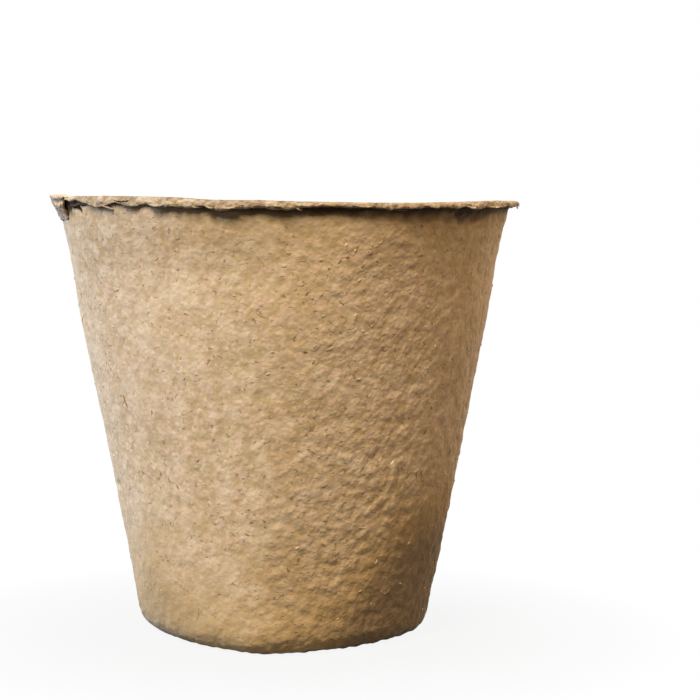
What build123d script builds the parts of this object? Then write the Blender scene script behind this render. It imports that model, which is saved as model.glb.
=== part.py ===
"""Peat pot: a small square-round seedling pot moulded from peat and wood-fibre pulp.

The pot is one thin shell. It is divided here into closed solids at the lines where the moulding changes its
form: the floor panel, the heel it stands on, the four-sided wall, the round collar and the out-turned lip,
with the flap that is torn from the lip and folded down on the collar. They meet face to face.
The origin is on the standing surface, under the middle of the pot. +Z is up and -Y is the front.
"""

import os
from math import cos, pi, radians, sin, sqrt, tan

from build123d import *

# Overall sizes
lip_diameter = 80.0
pot_height = 75.0

# Wall of the shell
wall_thickness = 1.6
foot_corner_radius = 24.3
foot_side_share = 0.912
wall_side_share = 0.955
ridge_count = 4
ridge_turn = 36.0
ridge_azimuth = -2.0

# Collar and the soft shoulder under it
collar_height = 9.0
shoulder_height = 4.0

# Lip and its ragged edge
lip_width = 1.5
lip_thickness = 1.4
ragged_share = 0.55
ripple_share = 0.4
lip_points = 40
lobe_count = 4
ripple_count = 7

# Torn flap, on the left
torn_tip_height = 1.0
flap_drop = 3.4
flap_tip_width = 0.9
flap_tip_thickness = 0.9
flap_start = 172.0
flap_end = 195.0

# Heel and floor
heel_radius = 4.6
foot_ring_width = 3.1
floor_thickness = 1.8
push_up = 1.2
push_up_slope = 2.0
drain_diameter = 8.0

# One overrun for every cutting tool
overrun = 2.0

# Heights and radii that follow
lip_radius = lip_diameter / 2
rim_radius = lip_radius - lip_width
rim_plane = pot_height - torn_tip_height
lip_underside = rim_plane - lip_thickness
collar_foot = rim_plane - collar_height
shoulder_foot = collar_foot - shoulder_height
taper_share = (rim_radius - foot_corner_radius) / rim_plane
wall_inset = wall_thickness * sqrt(1 + taper_share**2)
heel_inset = heel_radius * (sqrt(1 + taper_share**2) - taper_share)
panel_radius = foot_corner_radius - heel_inset - foot_ring_width
heel_top = floor_thickness + heel_radius


def corner_radius(height):
    """Radius of the outside at a ridge, on its straight taper."""
    return foot_corner_radius + taper_share * height


def outline(height, corner, side_share, inset=0):
    """A rounded polygon of wide side arcs and small ridge arcs, tangent to each other, as a face at a height.

    side_share is the radius at the middle of a side over the radius at a ridge, and 1 makes a circle.
    """
    half_turn = radians(ridge_turn / 2)
    half_side = pi / ridge_count
    closing = cos(half_turn) - 1 + sin(half_turn) * tan(half_side / 2)
    centre_gap = corner * (1 - side_share) / closing
    ridge_centre = centre_gap * (cos(half_turn) - sin(half_turn) / tan(half_side))
    ridge_arc = corner - ridge_centre - inset
    side_reach = corner * side_share - inset
    along = ridge_centre + ridge_arc * cos(half_turn)
    across = ridge_arc * sin(half_turn)
    edges = []
    for i in range(ridge_count):
        here = Rotation(0, 0, ridge_azimuth + i * 360 / ridge_count)
        halfway = Rotation(0, 0, ridge_azimuth + (2 * i + 1) * 180 / ridge_count)
        beyond = Rotation(0, 0, ridge_azimuth + (i + 1) * 360 / ridge_count)
        start = (here * Pos(along, -across, height)).position
        tip = (here * Pos(ridge_centre + ridge_arc, 0, height)).position
        end = (here * Pos(along, across, height)).position
        side = (halfway * Pos(side_reach, 0, height)).position
        following = (beyond * Pos(along, -across, height)).position
        edges.append(ThreePointArc(start, tip, end))
        edges.append(ThreePointArc(end, side, following))
    return Face(Wire(edges))


def join_outlines(faces):
    """A solid with straight walls from each outline to the next."""
    return Solid.make_loft([face.outer_wire() for face in faces], ruled=True)


def shell_solid(inset, bottom, top):
    """The tapering pot body through four outlines: bottom, foot of the shoulder, foot of the collar and top."""
    return join_outlines(
        [
            outline(bottom, corner_radius(bottom), foot_side_share, inset),
            outline(shoulder_foot, corner_radius(shoulder_foot), wall_side_share, inset),
            outline(collar_foot, corner_radius(collar_foot), 1, inset),
            outline(top, corner_radius(top), 1, inset),
        ]
    )


def slab(bottom, top):
    """A block wider than the pot between two heights."""
    width = lip_diameter + overrun
    return Pos(0, 0, bottom) * Box(width, width, top - bottom, align=(Align.CENTER, Align.CENTER, Align.MIN))


def lowest_edges(solid):
    """The edges around a solid's lowest face."""
    return solid.faces().sort_by(Axis.Z)[0].edges()


def make_body():
    """Outside of the pot with its heel rounded."""
    body = shell_solid(0, 0, rim_plane)
    return fillet(lowest_edges(body), heel_radius)


def make_cavity():
    """Inside of the pot, from the floor to above the rim."""
    cavity = shell_solid(wall_inset, floor_thickness, rim_plane + overrun)
    return fillet(lowest_edges(cavity), heel_radius - wall_thickness)


def mesa(bottom):
    """The form of the pushed-up middle of the floor: low and flat, with sloping edges."""
    low = outline(bottom, panel_radius, foot_side_share)
    high = outline(bottom + push_up, panel_radius - push_up_slope, foot_side_share)
    return join_outlines([low, high])


def make_floor_panel():
    """Floor inside the heel, pushed up in the middle, with the drain hole."""
    plate = extrude(outline(0, panel_radius, foot_side_share), floor_thickness)
    drain = Cylinder(drain_diameter / 2, 2 * (floor_thickness + push_up + overrun))
    return plate + mesa(floor_thickness) - mesa(0) - drain


def make_heel(body, cavity):
    """Rounded foot ring that the pot stands on."""
    window = extrude(outline(0, panel_radius, foot_side_share), heel_top)
    return (body & slab(0, heel_top)) - cavity - window


def make_side_wall(body, cavity):
    """Four-sided wall with its soft ridges, up to the top of the shoulder."""
    return (body & slab(heel_top, collar_foot)) - cavity


def make_collar(body, cavity):
    """Round band between the shoulder and the rim."""
    return (body & slab(collar_foot, rim_plane)) - cavity


def lip_edge(angle):
    """Radius of the ragged lip, which touches its full radius on both axes and falls short between them."""
    lobe = (1 - cos(lobe_count * angle)) / 2
    ripple = (1 + ripple_share * cos(ripple_count * angle)) / (1 + ripple_share)
    return lip_radius - ragged_share * lip_width * lobe * ripple


def turn_through_flap(profile):
    """Turn an outline in the XZ plane about the pot's axis, through the flap's own angle."""
    turned = revolve(Face(Wire(profile.edges())), Axis.Z, flap_end - flap_start)
    return Rotation(0, 0, flap_start) * turned


def make_rim_lip(body):
    """Out-turned lip around the collar, open where the flap is torn from it."""
    angles = [2 * pi * i / lip_points for i in range(lip_points)]
    edge = Spline([(lip_edge(a) * cos(a), lip_edge(a) * sin(a), lip_underside) for a in angles], periodic=True)
    disc = extrude(Face(Wire([edge])), lip_thickness)
    tear = Polyline(
        (0, 0, lip_underside - overrun),
        (lip_diameter, 0, lip_underside - overrun),
        (lip_diameter, 0, rim_plane + overrun),
        (0, 0, rim_plane + overrun),
        close=True,
    )
    return disc - body - turn_through_flap(tear)


def make_torn_flap(body):
    """Flap torn from the lip, with an upturned tip, folded down and pressed on the collar."""
    foot = lip_underside - flap_drop
    profile = Polyline(
        (corner_radius(foot) - wall_thickness / 2, 0, foot),
        (corner_radius(rim_plane) - wall_thickness / 2, 0, rim_plane),
        (corner_radius(rim_plane), 0, rim_plane),
        (lip_radius - flap_tip_width, 0, pot_height),
        (lip_radius, 0, pot_height),
        (lip_radius, 0, pot_height - flap_tip_thickness),
        (corner_radius(foot), 0, foot),
        close=True,
    )
    return turn_through_flap(profile) - body


body = make_body()
cavity = make_cavity()
nodes = {
    "floor_panel": make_floor_panel(),
    "foot_heel": make_heel(body, cavity),
    "side_wall": make_side_wall(body, cavity),
    "collar": make_collar(body, cavity),
    "rim_lip": make_rim_lip(body),
    "torn_lip_flap": make_torn_flap(body),
}

os.makedirs("parts", exist_ok=True)
for name, shape in nodes.items():
    shape.label = name
    export_step(shape, f"parts/{name}.step")
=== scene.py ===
"""Looks of the moulded peat pot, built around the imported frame. Metres, +Z up, the viewer on the -Y side."""

import math
import random

import bpy
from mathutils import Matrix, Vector, kdtree, noise
from mathutils.bvhtree import BVHTree


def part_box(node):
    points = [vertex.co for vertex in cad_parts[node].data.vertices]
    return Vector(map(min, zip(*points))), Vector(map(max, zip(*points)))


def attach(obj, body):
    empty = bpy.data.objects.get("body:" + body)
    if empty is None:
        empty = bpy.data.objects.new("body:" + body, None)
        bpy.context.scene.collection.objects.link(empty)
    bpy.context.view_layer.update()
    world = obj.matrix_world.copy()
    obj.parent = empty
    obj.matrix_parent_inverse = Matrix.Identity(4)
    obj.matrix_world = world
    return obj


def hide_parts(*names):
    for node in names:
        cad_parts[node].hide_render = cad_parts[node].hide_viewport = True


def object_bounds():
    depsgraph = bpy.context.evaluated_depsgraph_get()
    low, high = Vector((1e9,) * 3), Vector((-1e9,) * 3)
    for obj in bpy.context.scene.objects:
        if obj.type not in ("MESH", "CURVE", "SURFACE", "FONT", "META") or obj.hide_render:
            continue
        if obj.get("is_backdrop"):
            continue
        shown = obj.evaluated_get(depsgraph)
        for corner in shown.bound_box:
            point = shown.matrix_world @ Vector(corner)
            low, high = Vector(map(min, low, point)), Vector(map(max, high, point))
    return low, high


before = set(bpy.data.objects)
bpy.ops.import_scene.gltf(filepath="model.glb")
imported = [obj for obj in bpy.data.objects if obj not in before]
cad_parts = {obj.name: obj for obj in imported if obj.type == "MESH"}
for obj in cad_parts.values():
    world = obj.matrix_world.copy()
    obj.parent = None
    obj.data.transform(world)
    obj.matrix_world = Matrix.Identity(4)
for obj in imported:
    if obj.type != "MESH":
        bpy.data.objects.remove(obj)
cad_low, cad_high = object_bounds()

bpy.ops.object.select_all(action="DESELECT")
mm = 0.001


# Camera
# It stands level with the rim and looks slightly down on the pot, as in the photograph. Its distance, lens
# and shift come from fitting the pot's outline in the 700 pixel frame.
frame_pixels = 700
camera_distance = 379 * mm
camera_height = 76.35 * mm
camera_tilt = math.radians(4.2)
focal_pixels = 2211
axis_pixel_x = 284.3
axis_pixel_y = 349.0

bpy.ops.object.camera_add(
    location=(0, -camera_distance, camera_height),
    rotation=(math.pi / 2 - camera_tilt, 0, 0),
)
camera = bpy.context.object
camera.data.sensor_width = 36
camera.data.lens = focal_pixels / frame_pixels * camera.data.sensor_width
camera.data.shift_x = (frame_pixels / 2 - axis_pixel_x) / frame_pixels
camera.data.shift_y = (axis_pixel_y - frame_pixels / 2) / frame_pixels
camera.data.clip_start = 10 * mm
camera.data.clip_end = 20
bpy.context.scene.camera = camera


def pixel_ray(pixel_x, pixel_y):
    """Origin and direction of the camera's ray through a pixel of the 700 pixel frame."""
    across = (pixel_x - axis_pixel_x) / focal_pixels
    down = (pixel_y - axis_pixel_y) / focal_pixels
    return camera.location, camera.rotation_euler.to_matrix() @ Vector((across, -down, -1)).normalized()


# Side wall
# A sheet of felted pulp about 1.6 mm thick, sucked on to a four-sided mould, so that it has four soft ridges.
# It leans out to the soft shoulder under the collar, and its outside is lumpy with clumps of fibre.
columns = 112
foot_corner = 24.3 * mm
rim_corner = 38.5 * mm
rim_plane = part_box("collar")[1].z
heel_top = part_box("side_wall")[0].z
shoulder_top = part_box("side_wall")[1].z
taper = (rim_corner - foot_corner) / rim_plane
pulp_thickness = 1.63 * mm
foot_side_share = 0.912
shoulder_side_share = 0.955
round_from = 54 * mm
waist_height = 63.5 * mm
waist_spread = 4.5 * mm
waist_depth = 0.16 * mm
ridge_half_turn = math.radians(18)
foot_lean = -7
lean_per_metre = 155
arch_lean = 5
arch_from = 54 * mm
arch_to = 64 * mm
foot_sway = Vector((-0.35, -0.75, 0)) * mm
foot_sway_height = 22 * mm
ray_steps = 60
ray_stride = 0.8


def progress(value, start, end):
    """How far a value has come from start to end, from 0 to 1."""
    return min(max((value - start) / (end - start), 0), 1)


def corner_radius(height):
    """Radius of the outside at a ridge."""
    return foot_corner + taper * height


def side_share(height):
    """Radius at the middle of a side over the radius at a ridge: the wall turns round towards the rim."""
    share = foot_side_share + (shoulder_side_share - foot_side_share) * max(height, 0) / shoulder_top
    return share + (1 - share) * progress(height, round_from, rim_plane) ** 2


def waist(height):
    """How far the wall is drawn in at the soft shoulder under the flaring collar."""
    return waist_depth * math.exp(-(((height - waist_height) / waist_spread) ** 2))


def ridge_lean(height):
    """Angle from the front to the ridge, which leans left going down and arches right at the shoulder."""
    arch = progress(height, arch_from, arch_to) ** 2
    return math.radians(foot_lean + lean_per_metre * height + arch_lean * arch)


def outline_radius(turn, corner, share):
    """Radius of the rounded square at an angle from its ridge."""
    closing = math.cos(ridge_half_turn) - 1 + math.sin(ridge_half_turn) * math.tan(math.pi / 8)
    centre_gap = corner * (1 - share) / closing
    ridge_centre = centre_gap * (math.cos(ridge_half_turn) - math.sin(ridge_half_turn))
    ridge_arc = corner - ridge_centre
    side_centre = centre_gap * math.sin(ridge_half_turn) * math.sqrt(2)
    along = ridge_centre + ridge_arc * math.cos(ridge_half_turn)
    turn = abs((turn + math.pi / 4) % (math.pi / 2) - math.pi / 4)
    if turn < math.atan2(ridge_arc * math.sin(ridge_half_turn), along):
        return ridge_centre * math.cos(turn) + math.sqrt(ridge_arc**2 - (ridge_centre * math.sin(turn)) ** 2)
    turn = math.pi / 4 - turn
    side_arc = centre_gap + ridge_arc
    return math.sqrt(side_arc**2 - (side_centre * math.sin(turn)) ** 2) - side_centre * math.cos(turn)


def ring_skin(name, around, ring_count, place):
    """A closed skin round the pot: a circle extruded ring by ring, bridged at its ends, placed by a rule."""
    bpy.ops.mesh.primitive_circle_add(vertices=around, radius=foot_corner)
    piece = bpy.context.object
    piece.name = piece.data.name = name
    bpy.ops.object.mode_set(mode="EDIT")
    bpy.ops.mesh.select_all(action="SELECT")
    for _ in range(ring_count - 1):
        bpy.ops.mesh.extrude_region_move(TRANSFORM_OT_translate={"value": (0, 0, mm)})
    bpy.ops.mesh.select_all(action="DESELECT")
    bpy.ops.mesh.select_non_manifold()
    bpy.ops.mesh.bridge_edge_loops()
    bpy.ops.object.mode_set(mode="OBJECT")
    for index, vertex in enumerate(piece.data.vertices):
        vertex.co = place(index // around, 2 * math.pi * (index % around) / around)
    return piece


def outside_ring(height, inset=0, out=1, up=0):
    """A ring under the wall's outside: height, radius, side share, inset, and how far it faces out and up."""
    return height, corner_radius(height), side_share(height), inset + waist(height), out, up


def sheet_rings(bottom, top, outer_rows, inner_rows):
    """The rings of a zone of the sheet, up its outside and down its inside."""
    rings = [outside_ring(bottom + (top - bottom) * row / outer_rows) for row in range(outer_rows + 1)]
    for row in range(inner_rows + 1):
        rings.append(outside_ring(top - (top - bottom) * row / inner_rows, pulp_thickness, -1))
    return rings


def sway(height):
    """How far the foot of the moulding stands to the left and to the front of its axis."""
    return foot_sway * max(1 - height / foot_sway_height, 0) ** 2


def keep(piece, name, numbers):
    """Keeps one number for each point of a piece as an attribute of its mesh."""
    piece.data.attributes.new(name, "FLOAT", "POINT").data.foreach_set("value", numbers)


def kept(piece, name):
    """The numbers kept under a name, which are then taken off the piece."""
    attribute = piece.data.attributes[name]
    numbers = [item.value for item in attribute.data]
    piece.data.attributes.remove(attribute)
    return numbers


def zone_skin(name, rings):
    """The closed skin of one zone of the moulding, which keeps how far each point faces out and up."""

    def place(ring, turn):
        height, corner, share, inset, _, _ = rings[ring]
        radius = outline_radius(turn, corner, share) - inset
        angle = turn + ridge_lean(height) - math.pi / 2
        return Vector((radius * math.cos(angle), radius * math.sin(angle), height)) + sway(height)

    piece = ring_skin(name, columns, len(rings), place)
    keep(piece, "out", [ring[4] for ring in rings for _ in range(columns)])
    keep(piece, "up", [ring[5] for ring in rings for _ in range(columns)])
    return piece


def crease_rings(piece, around, rings):
    """Keeps the joint faces of a piece sharp when it is subdivided."""
    crease = piece.data.attributes.new("crease_edge", "FLOAT", "EDGE")
    for edge in piece.data.edges:
        start, end = (vertex // around for vertex in edge.vertices)
        if start == end and start in rings:
            crease.data[edge.index].value = 1


def pick(*pieces):
    """Selects these pieces and nothing else, and makes the first one active."""
    bpy.ops.object.select_all(action="DESELECT")
    for piece in pieces:
        piece.select_set(True)
    bpy.context.view_layer.objects.active = pieces[0]


def outward(piece):
    """Turns all faces of a closed piece outwards."""
    pick(piece)
    bpy.ops.object.mode_set(mode="EDIT")
    bpy.ops.mesh.select_all(action="SELECT")
    bpy.ops.mesh.normals_make_consistent(inside=False)
    bpy.ops.object.mode_set(mode="OBJECT")


def refine(piece, levels):
    """Subdivides a piece for its relief."""
    bpy.context.view_layer.objects.active = piece
    modifier = piece.modifiers.new("fine", "SUBSURF")
    modifier.levels = modifier.render_levels = levels
    bpy.ops.object.modifier_apply(modifier=modifier.name)


def outside_spot(pixel_x, pixel_y):
    """The point of the smooth outside that a pixel of the frame shows, found by steps along its ray."""
    start, way = pixel_ray(pixel_x, pixel_y)
    far = camera_distance - 2 * rim_corner
    for _ in range(ray_steps):
        spot = start + way * far
        turn = math.atan2(spot.y, spot.x) + math.pi / 2 - ridge_lean(spot.z)
        radius = outline_radius(turn, corner_radius(spot.z), side_share(spot.z)) - waist(spot.z)
        far += ray_stride * (math.hypot(spot.x, spot.y) - radius)
    return spot


# Marks pressed or pulled into the wet pulp: width and depth in millimetres, and the pixels along each one.
# Their depth also darkens or lightens the colour, as painted shade in the creases; the dark arch beside the
# flap goes deeper in colour than in the skin, as painted shadow.
pressed_marks = (
    (0.55, 0.14, ((297, 286), (292, 296), (289, 312), (288, 330), (287, 352))),
    (0.8, 0.07, ((287, 352), (285, 400), (283, 450), (281, 520))),
    (0.5, 0.16, ((233, 602), (240, 609), (250, 611), (260, 610), (267, 604))),
    (0.45, -0.12, ((243, 613), (255, 614), (266, 609))),
    (0.5, -0.16, ((366, 514), (376, 503), (386, 492), (392, 480), (393, 466))),
    (0.5, 0.16, ((371, 518), (381, 507), (391, 496), (397, 482), (398, 466))),
    (0.5, 0.1, ((163, 212), (166, 224), (166, 240))),
    (0.45, 0.05, ((160, 248), (146, 262), (130, 273))),
    (0.5, 0.13, ((271, 524), (280, 525), (290, 523))),
    (0.5, 0.1, ((212, 605), (228, 605))),
    (0.5, 0.12, ((255, 313), (261, 316), (266, 320))),
    (0.55, 0.14, ((335, 298), (341, 303), (346, 307))),
    (0.5, 0.12, ((330, 280), (335, 286))),
    (0.6, 0.16, ((370, 461), (374, 456), (378, 450))),
    (0.6, 0.16, ((329, 566), (336, 564), (343, 561))),
    (0.7, 0.3, ((117, 484), (120, 484))),
    (0.8, 0.25, ((479, 352), (477, 354))),
    (0.5, 0.7, ((69.5, 206), (70, 211), (71, 216))),
    (0.8, 2.0, ((71, 204), (74, 204), (77, 206.5))),
    (0.6, 2.0, ((77, 206.5), (79.5, 210.5))),
    (0.4, 0.3, ((79, 203.5), (83, 205))),
)
mark_step = 0.3 * mm
mark_falloff = 2
mark_spots = []
for width, depth, pixels in pressed_marks:
    for first, second in zip(pixels, pixels[1:]):
        begin, finish = outside_spot(*first), outside_spot(*second)
        steps = max(math.ceil((finish - begin).length / mark_step), 1)
        mark_spots += [(begin.lerp(finish, step / steps), width, depth) for step in range(steps + 1)]
marks = kdtree.KDTree(len(mark_spots))
for index, (spot, _, _) in enumerate(mark_spots):
    marks.insert(spot, index)
marks.balance()

# How strong the clumps are on the four sides, from the front right one on to the right, and at the foot.
facet_vigour = (2.4, 1.15, 1.1, 1.1)
foot_vigour = 0.8
foot_rough_height = 45 * mm
fine_grain = 0.6
fine_gain = 0.27
# Layers of unevenness in millimetres: how far each one goes in and out, and how wide its lumps are.
dent_layers = ((0.24, 21), (0.09, 7.5), (0.02, 4))
clump_layers = ((0.03, 2.5), (0.065, 1.3))
stir_reach = 0.2
stir_size = 2.2
crest_height = 0.02
crest_size = 3.1
crest_middle = 0.2
crest_shift = Vector((5, 0, 0))
ripple_height = 0.03
ripple_size = 1.3
ripple_stretch = 3.2
ripple_slant = 0.85
# The skin goes in no deeper than this; deeper relief only darkens the colour, as painted shadow.
deepest_mark = -0.5
inner_share = 0.6
level_face = 0.9
# The stirring starts from the same place in every run.
noise.seed_set(7)
# Painted shade that browns the foot, least in front and most at the right: how far up it goes, how strong it
# is in front, at the left and at the right, and how much higher it climbs at the right; cloudy damp blotches,
# also above the foot; and a painted shadow under the lip at the front right.
foot_shade_height = 30 * mm
foot_shade_azimuth = math.radians(75)
foot_shade_front = 0.35
foot_shade_left = 0.5
foot_shade_right = 1.7
foot_shade_climb = 0.25
damp_layers = ((0.2, 9), (0.14, 4))
damp_above = 0.12
lip_shadow_strength = 0.6
lip_shadow_azimuth = math.radians(50)
lip_shadow_height = 6 * mm


def azimuth_of(point):
    """A point's angle from the front to the right."""
    return math.atan2(point.x, -point.y)


def uneven(place, layers):
    """Noise at a place in millimetres, as the sum of its layers."""
    return sum(reach * noise.noise(place / size) for reach, size in layers)


def facets(point):
    """The angle of each side of the wall, and how much of its vigour a point gets."""
    azimuth = azimuth_of(point)
    for facet, strength in enumerate(facet_vigour):
        middle = math.radians(45 + 90 * facet)
        yield middle, max(math.cos(azimuth - middle), 0) ** 2 * strength


def coarseness(point):
    """How coarse the felt is at a point: most at the front right and towards the foot, which dried last."""
    vigour = sum(weight for _, weight in facets(point))
    return vigour * (1 + foot_vigour * max(1 - point.z / foot_rough_height, 0))


def relief(point):
    """How far the skin stands out at a point, in millimetres: dents, clumps of fibre, ripples and marks."""
    spot = point / mm
    stirred = spot + stir_reach * Vector(noise.noise_vector(spot / stir_size))
    ripples = 0
    for middle, weight in facets(point):
        if weight > 0.01:
            slant = Vector((math.cos(middle), math.sin(middle), ripple_slant)).normalized()
            drawn = stirred - slant * stirred.dot(slant) * (1 - 1 / ripple_stretch)
            ripples += weight * noise.noise(drawn / ripple_size)
    crests = abs(noise.noise(stirred / crest_size + crest_shift)) - crest_middle
    bumps = uneven(stirred, clump_layers) + crest_height * crests
    height = uneven(spot, dent_layers) + coarseness(point) * bumps + ripple_height * ripples
    _, index, gap = marks.find(point)
    width, depth = mark_spots[index][1:]
    if gap < 2 * width * mm:
        height -= depth * math.exp(-mark_falloff * (gap / mm / width) ** 2)
    return height


def painted_shade_and_damp(point):
    """How brown the pulp is at a point: painted shade at the foot, least in front, painted shadow under the
    lip at the front right, and cloudy damp blotches.
    """
    azimuth = azimuth_of(point)
    left = max(math.cos(azimuth + foot_shade_azimuth), 0)
    right = max(math.cos(azimuth - foot_shade_azimuth), 0)
    rise = 1 - progress(point.z, 0, foot_shade_height * (1 + foot_shade_climb * right))
    foot = rise**1.5 * (foot_shade_front + foot_shade_left * left**2 + foot_shade_right * right**3)
    lip_shadow = lip_shadow_strength * max(math.cos(azimuth - lip_shadow_azimuth), 0)
    lip_shadow *= math.exp((point.z - rim_plane) / lip_shadow_height)
    return max(foot + lip_shadow + uneven(point / mm, damp_layers) * (damp_above + rise), 0)


def roughen(piece):
    """Raises the relief on a zone, less on inner and level faces, and keeps what its colour and grain use."""
    outs, ups = kept(piece, "out"), kept(piece, "up")
    heights = [relief(vertex.co) for vertex in piece.data.vertices]
    keep(piece, "hollow_and_shade", heights)
    keep(piece, "shade_and_damp", [painted_shade_and_damp(vertex.co) for vertex in piece.data.vertices])
    keep(piece, "coarse", [fine_grain + fine_gain * coarseness(vertex.co) for vertex in piece.data.vertices])
    for vertex, height, out, up in zip(piece.data.vertices, heights, outs, ups):
        height = max(height, deepest_mark) * (inner_share * mm if out < 0 or up > level_face else mm)
        reach = max(math.hypot(vertex.co.x, vertex.co.y), mm)
        vertex.co += Vector((vertex.co.x / reach * out, vertex.co.y / reach * out, up)) * height
        vertex.co.z = max(vertex.co.z, 0)


def felt(piece, joint_rings):
    """Finishes the cage of a zone: sharp at its joint faces, closed outwards, subdivided and roughened."""
    crease_rings(piece, columns, joint_rings)
    outward(piece)
    refine(piece, 2)
    roughen(piece)


wall_rows = 36
wall_rings = sheet_rings(heel_top, shoulder_top, wall_rows, 14)
side_wall = zone_skin("side_wall_pulp", wall_rings)
felt(side_wall, (0, wall_rows, wall_rows + 1, len(wall_rings) - 1))


def shader_group(name, inputs, outputs):
    """An empty node group with named sockets, and its input and output nodes."""
    group = bpy.data.node_groups.new(name, "ShaderNodeTree")
    for way, sockets in (("INPUT", inputs), ("OUTPUT", outputs)):
        for label, kind in sockets.items():
            group.interface.new_socket(label, in_out=way, socket_type="NodeSocket" + kind)
    return group, group.nodes.new("NodeGroupInput"), group.nodes.new("NodeGroupOutput")


def set_inputs(tree, node, inputs):
    """Links each input of a node to a socket, or gives it a number, a vector or a colour."""
    for label, value in inputs.items():
        socket = node.inputs[label]
        if isinstance(value, bpy.types.NodeSocket):
            tree.links.new(value, socket)
        elif socket.type == "RGBA":
            socket.default_value = (*value, 1)
        else:
            socket.default_value = value


def wired(tree, kind, inputs, operation=None):
    """The first output of a new node whose inputs are given."""
    node = tree.nodes.new("ShaderNode" + kind)
    if operation:
        node.operation = operation
    set_inputs(tree, node, inputs)
    return node.outputs[0]


def calculate(tree, operation, first, second):
    """One sum of two sockets or numbers, as a socket."""
    return wired(tree, "Math", {0: first, 1: second}, operation)


def ramp(tree, value, start, end, low=0, high=1):
    """A value brought from start and end to low and high, and held there."""
    limits = {"From Min": start, "From Max": end, "To Min": low, "To Max": high}
    return wired(tree, "MapRange", {"Value": value, **limits})


def blend(tree, factor, first, second):
    """Two colours mixed by a factor, as a socket."""
    node = tree.nodes.new("ShaderNodeMix")
    node.data_type = "RGBA"
    set_inputs(tree, node, {"Factor": factor, 6: first, 7: second})
    return node.outputs[2]


def mottle(tree, place, size, detail, stir=0):
    """Cloudy noise whose blotches are about size millimetres across. The place is in millimetres."""
    return wired(tree, "TexNoise", {"Vector": place, "Scale": 1 / size, "Detail": detail, "Distortion": stir})


def in_millimetres(tree, place):
    """A place in metres as one in millimetres."""
    return wired(tree, "VectorMath", {0: place, "Scale": 1 / mm}, "SCALE")


def pebbles(tree, place, size):
    """Rounded lumps about size millimetres across, high in their middles, as a height."""
    cells = wired(tree, "TexVoronoi", {"Vector": place, "Scale": 1 / size})
    lumps = ramp(tree, cells, 0.05, 0.8, 1, 0)
    lumps.node.interpolation_type = "SMOOTHSTEP"
    return lumps


def stirred_place(tree, place, size, reach):
    """A place pushed about by up to reach millimetres, so that what is drawn there has uneven outlines."""
    cloud = tree.nodes.new("ShaderNodeTexNoise")
    set_inputs(tree, cloud, {"Vector": place, "Scale": 1 / size})
    push = {0: cloud.outputs["Color"], 1: (reach, reach, reach), 2: place}
    return wired(tree, "VectorMath", push, "MULTIPLY_ADD")


def make_grain():
    """Group for the grain of felted pulp: clumps, pebbly lumps and fine fibre as a height, with its pits."""
    group, taken, given = shader_group(
        "pulp_grain",
        {"Place": "Vector", "Threads": "Float", "Coarse": "Float"},
        {"Height": "Float", "Pits": "Float", "Relief": "Float"},
    )
    place = in_millimetres(group, taken.outputs["Place"])
    stirred = stirred_place(group, place, 0.7, 0.9)
    threads = calculate(group, "SUBTRACT", mottle(group, place, 1.1, 1, 1.8), 0.5)
    threads = ramp(group, calculate(group, "ABSOLUTE", threads, 0), 0, 0.12, 1, 0)
    pits = calculate(group, "MAXIMUM", ramp(group, mottle(group, stirred, 0.75, 0), 0.27, 0.2), 0)
    height = calculate(group, "MULTIPLY", mottle(group, place, 1.5, 1), 0.6)
    for layer, share in (
        (pebbles(group, stirred, 0.85), 0.27),
        (mottle(group, place, 0.36, 1), 0.03),
        (calculate(group, "MULTIPLY", threads, taken.outputs["Threads"]), 0.06),
        (pits, -0.3),
    ):
        height = calculate(group, "ADD", height, calculate(group, "MULTIPLY", layer, share))
    coarse = calculate(group, "MULTIPLY", height, taken.outputs["Coarse"])
    set_inputs(group, given, {"Height": height, "Pits": pits, "Relief": coarse})
    return group


bark_brown = (0.16, 0.09, 0.045)
shade_and_damp_brown = (0.42, 0.275, 0.115)
deep_shade_and_damp_brown = (0.14, 0.085, 0.04)
# Near-black brown of painted shadow, in the deepest hollows and under the lip.
painted_shadow_brown = (0.075, 0.034, 0.013)
# Blotches of tan, pink, olive, cream and straw: their size in millimetres and detail, the noise at which they
# begin and are full, how strong they then are, their colour, and whether their noise is moved away.
blotches = (
    (5, 2, 0.4, 0.7, 0.45, (0.5, 0.345, 0.185), False),
    (1.8, 1, 0.5, 0.7, 0.5, (0.5, 0.345, 0.185), False),
    (1.5, 2, 0.5, 0.68, 0.8, (0.65, 0.455, 0.34), False),
    (1.4, 2, 0.5, 0.7, 0.6, (0.52, 0.395, 0.195), True),
    (3.6, 2, 0.48, 0.66, 0.5, (0.74, 0.6, 0.45), True),
    (1.1, 1, 0.58, 0.74, 0.5, (0.76, 0.63, 0.45), True),
)


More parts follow.
